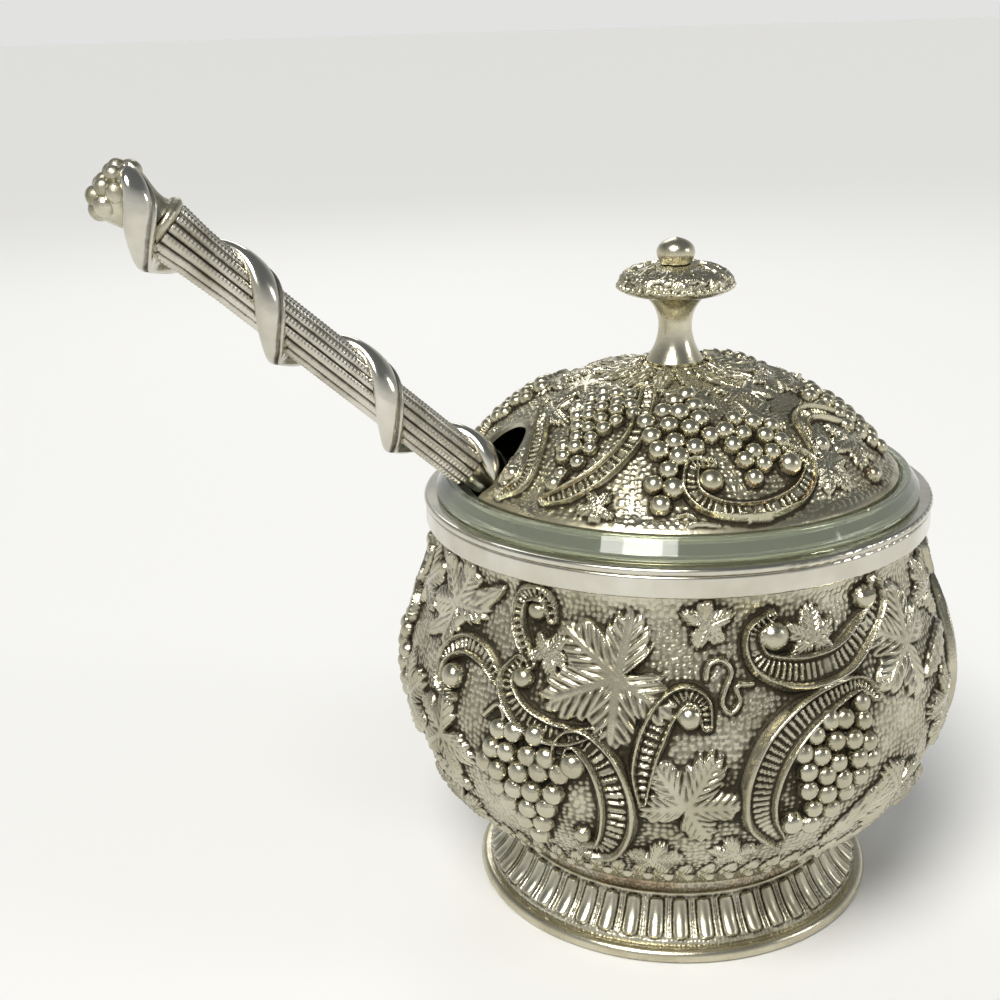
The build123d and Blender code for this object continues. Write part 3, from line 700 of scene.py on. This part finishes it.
def cut_notch(points, level):
    """Points inside the notch go to the nearest place on its outline, at the height that level
    gives for their radius, and only quads with a point outside it stay"""
    gap = notch_gap(points[..., 0], points[..., 1])
    gap = np.where(points[..., 0] < 0, gap, 1.0)
    inside = gap < 0
    past = np.maximum(points[..., 0] + notch_reach + notch_half, 0)
    away = np.hypot(past, points[..., 1])
    share = np.where(inside, notch_half / np.maximum(away, 1e-6), 1.0)
    moved = points.copy()
    moved[..., 0] += past * (share - 1)
    moved[..., 1] *= share
    radius = np.hypot(moved[..., 0], moved[..., 1])
    moved[..., 2] = np.where(inside, level(radius), points[..., 2])
    keep = ~(inside[:-1, :-1] & inside[1:, :-1] & inside[:-1, 1:] & inside[1:, 1:])
    return moved, keep


plan = turned_grid(lid.line, lid.turns + front)
near_notch = np.where(plan[..., 0] < 0, notch_gap(plan[..., 0], plan[..., 1]), 9.0)
lid.height *= smooth(near_notch, 0.2, 1.3) * smooth(lid.along, 0.5, 1.3) * smooth(lid.radius, 3.4, 4.4)
lid_points = lid.points()
lid_normals = grid_normals(lid_points)
rising = lid.line[::-1]


def lid_level(radius):
    """Height of the lid's plain ground at a radius"""
    return np.interp(radius, rising[:, 0], rising[:, 1])


lid_points, lid_keep = cut_notch(lid_points, lid_level)
falling = -np.gradient(lid.height, axis=1)
lid_worn = np.clip(falling * 3.0, 0, 1) * smooth(-lid.line[None, :, 1], -70, -67)
# Darkening in the lid's hollows: oxide and painted shade.
lid_hollow = lid.hollow()
lid_bright = (0.66, 0.62, 0.47)
lid_dull = (0.48, 0.45, 0.31)
lid_silver = silver("lid_silver", ("hollow", "worn"), lid_bright, lid_dull, gloss=0.18, marks=0.00005)
quarter = lid_columns // 4
for k, side in enumerate(("back_left", "front_left", "front_right", "back_right")):
    cut = slice(k * quarter, (k + 1) * quarter + 1)
    quads = slice(k * quarter, (k + 1) * quarter)
    fields = {"hollow": lid_hollow[cut], "worn": lid_worn[cut]}
    piece = skin("lid_" + side, [lid_points[cut]], fields, lid_normals[cut], lid_keep[quads])
    dress(piece, lid_silver, "lid", "silver_lid", "lid_dome")
dome_arc = (lid_edge_r - dome_flat_r) ** 2 / (2 * (dome_top_z - lid_edge_z)) + (dome_top_z - lid_edge_z) / 2
turn_in_z = dome_top_z - dome_arc + ((dome_arc - lid_skin) ** 2 - (turn_in_r - dome_flat_r) ** 2) ** 0.5
under_dome, _ = arc_from((dome_flat_r, dome_top_z - lid_skin), (1, 0), (turn_in_r, turn_in_z), 60)
outer_corner = (lid_edge_r, lid_seat_z)
inner_corner = (turn_in_r, lid_seat_z)
lining = np.vstack([
    even([(lid_edge_r, lid_edge_z), outer_corner], 5),
    even([outer_corner, inner_corner], 12),
    even([inner_corner, (turn_in_r, turn_in_z)], 6)[1:],
    under_dome[::-1][1:],
    [(0, dome_top_z - lid_skin)],
])[::-1]


def lining_level(radius):
    """Height of the lid's underside at a radius"""
    return np.where(radius > turn_in_r, lid_seat_z, np.interp(radius, under_dome[:, 0], under_dome[:, 1]))


lining_turns = np.linspace(0, 360, 721)
lining_points, lining_keep = cut_notch(turned_grid(lining, lining_turns), lining_level)
piece = skin("lid_lining", [lining_points], keep=lining_keep)
dress(piece, silver("lid_lining_silver", gloss=0.3, hollow=0.42), "lid", "silver_lid")
mouth_x = (lid_edge_r**2 - notch_half**2) ** 0.5
round_end = np.radians(np.linspace(-90, 90, 40))
notch_centre_x = -notch_reach - notch_half
straight = np.linspace(-mouth_x, notch_centre_x, 12)[:-1]
beside = np.full(len(straight), notch_half)
wall_x = np.concatenate([straight, notch_centre_x + notch_half * np.cos(round_end), straight[::-1]])
wall_y = np.concatenate([-beside, notch_half * np.sin(round_end), beside])
wall_r = np.hypot(wall_x, wall_y)
top_edge = np.stack([wall_x, wall_y, lid_level(wall_r)], -1)
low_edge = np.stack([wall_x, wall_y, lining_level(wall_r)], -1)
piece = skin("lid_notch_wall", [np.stack([top_edge, low_edge], 1)])
dress(piece, silver("notch_silver", gloss=0.28, hollow=0.4), "lid", "silver_lid")

# Finial cap: cast mushroom cap with a leafy, dimpled crown and a beaded edge, which sits on
# the stem. The stem, the bud on top and the fixings under the dome keep their solid shapes.
cap_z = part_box("finial_cap")[0].z / mm
cap_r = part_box("finial_cap")[1].x / mm
cap_top_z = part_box("finial_cap")[1].z / mm
swell = np.linspace(0, pi / 2, 40)
bud_seat_r = 2.3
crown_r = cap_r - 2.75
crown_rise = cap_top_z - cap_z - 1.6
cap_line = np.vstack([
    [(cap_r - 0.55, cap_z + 0.5), (cap_r - 0.1, cap_z + 0.8), (cap_r - 0.1, cap_z + 1.3)],
    np.stack([bud_seat_r + crown_r * np.cos(swell), cap_z + 1.6 + crown_rise * np.sin(swell)], -1),
    [(0, cap_top_z)],
])
cap = Relief(even(inward(even(cap_line, 75), 0.25), 90), 420)
cap_leaves = 9
cap_beads = 40
for k in range(cap_leaves):
    leaf_turn = k * 360 / cap_leaves
    cap.leaf(leaf_turn, cap_z + 2.9, 2.3, 270 + 25 * (-1) ** k, 0.5)
    cap.frond((leaf_turn + 20, cap_top_z - 0.3), (leaf_turn + 26, cap_z + 2.2), 0.9, 0.45, 4)
for k in range(cap_beads):
    cap.bead(k * 360 / cap_beads, cap_z + 1.35, 0.42, 0.0)
cap.stipple(0.42, 0.1)
cap.height *= smooth(cap.along, 0.1, 0.6)
cap_points = cap.points()
# Darkening in the crown's hollows: oxide and painted shade.
cap_fields = {"hollow": cap.hollow(), "worn": cap.height * 0}
piece = skin("cap_crown", [cap_points], cap_fields, grid_normals(cap_points))
dress(piece, lid_silver, "lid", "silver_lid", "finial_cap")
below_cap = np.array([(0, cap_z), (4.7, cap_z), (cap_r - 1.4, cap_z + 0.25), cap.line[0]])
piece = skin("cap_underside", [turned_grid(even(below_cap, 14), once_round)])
polished_bright = (0.7, 0.68, 0.6)
polished_dull = (0.58, 0.55, 0.46)
polished = silver("polished_silver", (), polished_bright, polished_dull, 0.1, marks=0.000012, hollow=0.18)
dress(piece, polished, "lid", "silver_lid")

# Ladle handle: cast fluted column, darkened between its reeds by oxide and painted shade, with a
# broad ribbon wound round it from the lid to the tip. The ribbon is swelled on top, edged by a thin
# wire, and draws out to a hanging point under each turn; oxide and painted shade darken the groove
# inside its wire, and painted shade darkens its underside at each hanging point.
handle_foot = np.array([-28.6, 0, 65.0])
tilt = radians(42.7)
handle_dir = np.array([-cos(tilt), 0, sin(tilt)])
handle_up = np.array([sin(tilt), 0, cos(tilt)])
near_side = np.array([0, -1, 0])
column_r = 3.1
reeds = 14


def on_handle(reach, psi, radius):
    """Point at a distance up the handle and a radius from its axis. psi turns from the near
    side over the top."""
    across = np.cos(psi)[..., None] * near_side + np.sin(psi)[..., None] * handle_up
    return handle_foot + reach[..., None] * handle_dir + radius[..., None] * across


column_low = 3.0
column_high = 54.5
along_column = np.concatenate([[column_low], np.linspace(column_low, column_high, 440), [column_high]])
psi, reach = np.meshgrid(np.linspace(0, 2 * pi, reeds * 12 + 1), along_column, indexing="ij")
flare = np.interp(reach, (0, 44, 50, column_high), (1, 1, 1.08, 1.24))
wave = (psi * reeds / (2 * pi)) % 1
reed = np.abs(np.sin(pi * wave)) ** 0.6
grain = 0.05 * np.cos(2 * pi * reach / 0.55 + 3 * np.floor(psi * reeds / (2 * pi))) * smooth(reed, 0.5, 0.9)
column_edge = column_r * flare * (0.87 + 0.13 * reed) + grain
column_edge[:, [0, -1]] = 0
column = on_handle(reach, psi, column_edge)
handle_bright = (0.68, 0.65, 0.57)
handle_dull = (0.5, 0.47, 0.38)
handle_silver = silver("handle_silver", ("hollow",), handle_bright, handle_dull, gloss=0.2, scale=150.0)
# Darker between the reeds: oxide and painted shade.
piece = skin("handle_reeds", [column], {"hollow": 0.86 - 0.62 * reed})
dress(piece, handle_silver, "spoon", "silver_handle", "handle_column")
ribbon_low = -1.3
ribbon_pitch = 20.0
ribbon_turns = 3.2
winding = np.linspace(0, ribbon_turns * 2 * pi, 300)
psi, section = np.meshgrid(winding, np.linspace(2 * pi, 0, 37), indexing="ij")
reach = ribbon_low + ribbon_pitch * psi / (2 * pi)
seat = np.interp(reach, (-2, 48, 54.5, 57, 60, 64.5), (3.05, 3.05, 3.75, 4.0, 3.9, 3.2))
below = np.exp(-((((psi - 1.5 * pi) / (2 * pi) + 0.5) % 1 - 0.5) / 0.075) ** 2)
taper = smooth(psi, -0.6, 0.9) * smooth(-psi, -ribbon_turns * 2 * pi - 0.2, -ribbon_turns * 2 * pi + 1.0)
closed = np.clip(np.minimum(psi, ribbon_turns * 2 * pi - psi) / 0.05, 0, 1)
ribbon_half = 2.45
ribbon_rise = 1.5
half_width = ((ribbon_half + 0.3 * np.sin(psi) - 0.9 * below) * taper + 0.15) * closed
q = np.cos(section)
dome_shape = np.where(np.sin(section) > 0, np.abs(np.sin(section)) ** 0.75, -0.35 * np.abs(np.sin(section)))
edge_wire = 0.32 * np.exp(-(((q + 0.84) / 0.1) ** 2)) - 0.3 * np.exp(-(((q + 0.62) / 0.1) ** 2))
lift = ribbon_rise * dome_shape + edge_wire * (np.sin(section) > 0) + 0.75 * below * np.maximum(dome_shape, 0)
ribbon = on_handle(reach + q * half_width, psi, seat + lift * (0.3 + 0.7 * taper) * closed)
# Oxide and painted shade in the groove inside the edge wire, painted shade on the underside of each turn.
ribbon_hollow = 0.2 + 0.5 * np.exp(-(((q + 0.6) / 0.16) ** 2)) + 0.15 * below
piece = skin("handle_winding", [ribbon], {"hollow": ribbon_hollow})
ribbon_dull = (0.55, 0.52, 0.44)
ribbon_silver = silver("ribbon_silver", ("hollow",), polished_bright, ribbon_dull, 0.12, marks=0.00002)
dress(piece, ribbon_silver, "spoon", "silver_handle", "handle_ribbon")

# Plain pieces that keep their solid shapes, each group with its own finish: the polished
# collar, bezel and lower ladle, the warm foot wire, stem and bud, the handle's cast crown, the
# brass fixings under the dome, and the pressed glass liner, which is faintly green and wavy.
warm_bright = (0.66, 0.62, 0.48)
warm_dull = (0.5, 0.46, 0.33)
warm = silver("warm_silver", (), warm_bright, warm_dull, gloss=0.2, hollow=0.26, scale=160.0)
crown_silver = silver("crown_silver", gloss=0.24, marks=0.00012, marks_scale=1300.0, hollow=0.42, scale=300.0)
brass_bright = (0.72, 0.56, 0.3)
brass_dull = (0.56, 0.42, 0.2)
brass = silver("plain_brass", (), brass_bright, brass_dull, gloss=0.28, hollow=0.25)
glass = bpy.data.materials.new("pressed_glass")
glass.use_nodes = True
glass_shader = glass.node_tree.nodes["Principled BSDF"]
glass_shader.inputs["Transmission Weight"].default_value = 0.85
glass_shader.inputs["IOR"].default_value = 1.5
glass_shader.inputs["Base Color"].default_value = (0.8, 0.86, 0.68, 1)
glass_bump = glass.node_tree.nodes.new("ShaderNodeBump")
glass_bump.inputs["Distance"].default_value = 0.00004
glass.node_tree.links.new(cloud(glass.node_tree.nodes, 120.0, 2), glass_bump.inputs["Height"])
glass.node_tree.links.new(glass_bump.outputs["Normal"], glass_shader.inputs["Normal"])
glass_rough = sum_of(glass.node_tree.nodes, "MULTIPLY", cloud(glass.node_tree.nodes, 500.0), 0.09)
glass.node_tree.links.new(glass_rough, glass_shader.inputs["Roughness"])
for finish, names in (
    (polished, ("collar_band", "collar_lip", "lid_bezel", "spoon_shank", "spoon_bowl", "spoon_ferrule")),
    (warm, ("foot_rim_wire", "finial_stem", "finial_bud")),
    (crown_silver, ("handle_crown",)),
    (brass, ("finial_stud", "finial_washer", "finial_nut")),
    (glass, ("glass_liner",)),
):
    for name in names:
        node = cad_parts[name]
        node.data.materials.clear()
        node.data.materials.append(finish)

# Floor and light: a pale floor that runs on past the horizon under a plain studio. The room
# is pale low down and darker overhead, so that the metal has something to show.
floor_data = bpy.data.meshes.new("floor")
far = 60
floor_data.from_pydata([(-far, -far, 0), (far, -far, 0), (far, far, 0), (-far, far, 0)], [], [(0, 1, 2, 3)])
floor = bpy.data.objects.new("floor", floor_data)
bpy.context.scene.collection.objects.link(floor)
paper = bpy.data.materials.new("floor_paper")
paper.use_nodes = True
paper_shader = paper.node_tree.nodes["Principled BSDF"]
paper_shader.inputs["Base Color"].default_value = (0.84, 0.84, 0.83, 1)
paper_shader.inputs["Roughness"].default_value = 0.9
floor_data.materials.append(paper)
world = bpy.data.worlds.new("studio")
bpy.context.scene.world = world
world.use_nodes = True
room = world.node_tree.nodes
split = room.new("ShaderNodeSeparateXYZ")
world.node_tree.links.new(room.new("ShaderNodeTexCoord").outputs["Generated"], split.inputs[0])
overhead = room.new("ShaderNodeValToRGB")
overhead.color_ramp.elements[0].position = 0.04
overhead.color_ramp.elements[0].color = (0.76, 0.76, 0.755, 1)
overhead.color_ramp.elements[1].position = 0.6
overhead.color_ramp.elements[1].color = (0.16, 0.17, 0.18, 1)
world.node_tree.links.new(split.outputs["Z"], overhead.inputs[0])
world.node_tree.links.new(overhead.outputs[0], room["Background"].inputs["Color"])
room["Background"].inputs["Strength"].default_value = 1.0


def lamp(name, kind, spot, size, power, colour=(1, 1, 1)):
    """Lamp that faces the middle of the pot: size is a square's side, or a sun's angle"""
    data = bpy.data.lights.new(name, kind)
    if kind == "AREA":
        data.size = size
    else:
        data.angle = size
    data.energy = power
    data.color = colour
    made = bpy.data.objects.new(name, data)
    bpy.context.scene.collection.objects.link(made)
    made.location = spot
    made.rotation_euler = (Vector((0, 0, 0.05)) - Vector(spot)).to_track_quat("-Z", "Y").to_euler()


lamp("window", "SUN", (-0.5, -0.5, 1.1), radians(30), 2.5, (1, 0.98, 0.94))
lamp("key", "AREA", (-0.3, -0.35, 0.5), 0.16, 0.8, (1, 0.98, 0.93))
lamp("fill", "AREA", (0.5, -0.35, 0.35), 0.16, 0.5)
lamp("back", "AREA", (0.1, 0.6, 0.5), 0.3, 0.7)
bpy.context.scene.view_settings.view_transform = "Standard"
